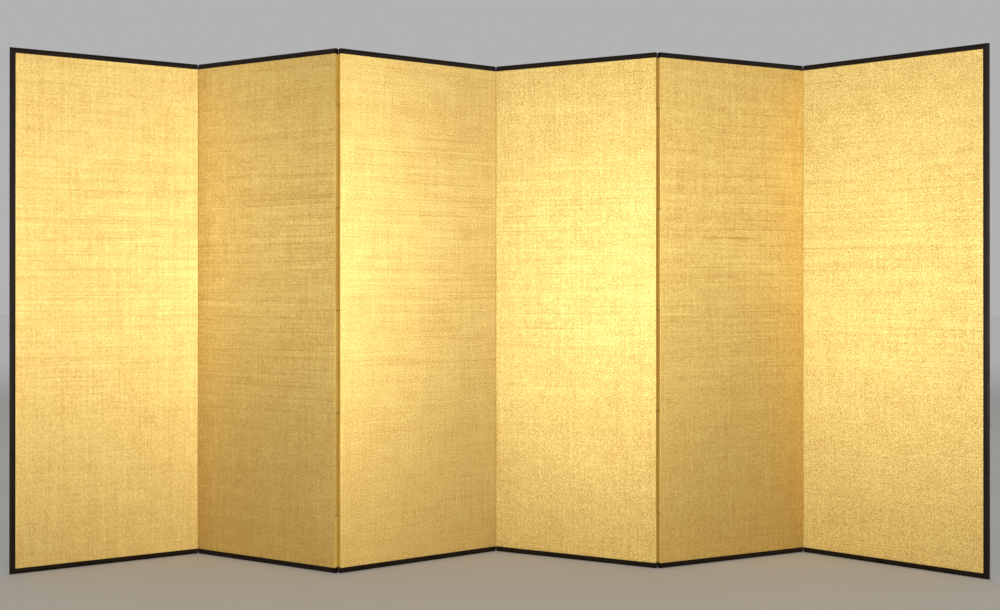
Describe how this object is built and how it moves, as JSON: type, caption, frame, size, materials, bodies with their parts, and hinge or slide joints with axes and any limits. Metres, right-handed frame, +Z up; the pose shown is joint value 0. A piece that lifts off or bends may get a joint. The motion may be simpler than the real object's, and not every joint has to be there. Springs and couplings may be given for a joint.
{
  "type": "byobu folding screen",
  "caption": "Free-standing zigzag folding screen: lattice-cored panels faced with plain gold cloth, in thin black lacquered rails and joined by paper hinges.",
  "frame": {"origin": "centre of the footprint's bounding rectangle, on the floor", "axes": "+X along the screen to the viewer's right, -Y the way the gold faces look, +Z up"},
  "size_m": [3.3606, 0.3495, 1.818],
  "materials": {
    "gold_cloth": "woven metallic gold cloth, satin",
    "edge_paper": "gold-washed paper over the core's edges, satin",
    "hinge_paper": "gold-faced laminated paper, satin",
    "backing_paper": "dull dark paper",
    "black_lacquer": "black urushi lacquer on wood, semi-gloss",
    "cedar": "planed bare cedar",
    "nail_brass": "dull hammered brass"
  },
  "bodies": {
    "panel_1": {"panel_1_core_frame": "cedar", "panel_1_core_lattice": "cedar", "panel_1_paper_skin": "edge_paper", "panel_1_gold_cloth": "gold_cloth", "panel_1_backing_paper": "backing_paper", "panel_1_top_rail": "black_lacquer", "panel_1_bottom_rail": "black_lacquer", "panel_1_nails": "nail_brass", "fold_1_2_left_leaves": "hinge_paper", "left_end_stile": "black_lacquer"},
    "panel_2": {"panel_2_core_frame": "cedar", "panel_2_core_lattice": "cedar", "panel_2_paper_skin": "edge_paper", "panel_2_gold_cloth": "gold_cloth", "panel_2_backing_paper": "backing_paper", "panel_2_top_rail": "black_lacquer", "panel_2_bottom_rail": "black_lacquer", "panel_2_nails": "nail_brass", "fold_2_3_left_leaves": "hinge_paper", "fold_1_2_right_leaves": "hinge_paper"},
    "panel_3": {"panel_3_core_frame": "cedar", "panel_3_core_lattice": "cedar", "panel_3_paper_skin": "edge_paper", "panel_3_gold_cloth": "gold_cloth", "panel_3_backing_paper": "backing_paper", "panel_3_top_rail": "black_lacquer", "panel_3_bottom_rail": "black_lacquer", "panel_3_nails": "nail_brass", "fold_3_4_left_leaves": "hinge_paper", "fold_2_3_right_leaves": "hinge_paper"},
    "panel_4": {"panel_4_core_frame": "cedar", "panel_4_core_lattice": "cedar", "panel_4_paper_skin": "edge_paper", "panel_4_gold_cloth": "gold_cloth", "panel_4_backing_paper": "backing_paper", "panel_4_top_rail": "black_lacquer", "panel_4_bottom_rail": "black_lacquer", "panel_4_nails": "nail_brass", "fold_4_5_left_leaves": "hinge_paper", "fold_3_4_right_leaves": "hinge_paper"},
    "panel_5": {"panel_5_core_frame": "cedar", "panel_5_core_lattice": "cedar", "panel_5_paper_skin": "edge_paper", "panel_5_gold_cloth": "gold_cloth", "panel_5_backing_paper": "backing_paper", "panel_5_top_rail": "black_lacquer", "panel_5_bottom_rail": "black_lacquer", "panel_5_nails": "nail_brass", "fold_5_6_left_leaves": "hinge_paper", "fold_4_5_right_leaves": "hinge_paper"},
    "panel_6": {"panel_6_core_frame": "cedar", "panel_6_core_lattice": "cedar", "panel_6_paper_skin": "edge_paper", "panel_6_gold_cloth": "gold_cloth", "panel_6_backing_paper": "backing_paper", "panel_6_top_rail": "black_lacquer", "panel_6_bottom_rail": "black_lacquer", "panel_6_nails": "nail_brass", "fold_5_6_right_leaves": "hinge_paper", "right_end_stile": "black_lacquer"}
  },
  "joints": [
    {"name": "fold_1_2", "type": "hinge", "parent": "panel_2", "child": "panel_1", "pos_m": [-1.1112, 0.09735, 0.909], "axis": [0, 0, 1], "range_deg": [-49.6, 130.4]},
    {"name": "fold_2_3", "type": "hinge", "parent": "panel_3", "child": "panel_2", "pos_m": [-0.5462, -0.12596, 0.909], "axis": [0, 0, -1], "range_deg": [-52.3, 127.7]},
    {"name": "fold_3_4", "type": "hinge", "parent": "panel_3", "child": "panel_4", "pos_m": [-0.0047, 0.14948, 0.909], "axis": [0, 0, -1], "range_deg": [-49.6, 130.4]},
    {"name": "fold_4_5", "type": "hinge", "parent": "panel_4", "child": "panel_5", "pos_m": [0.57019, -0.04697, 0.909], "axis": [0, 0, 1], "range_deg": [-42.2, 137.8]},
    {"name": "fold_5_6", "type": "hinge", "parent": "panel_5", "child": "panel_6", "pos_m": [1.14266, 0.15644, 0.909], "axis": [0, 0, -1], "range_deg": [-53.8, 126.2]}
  ]
}
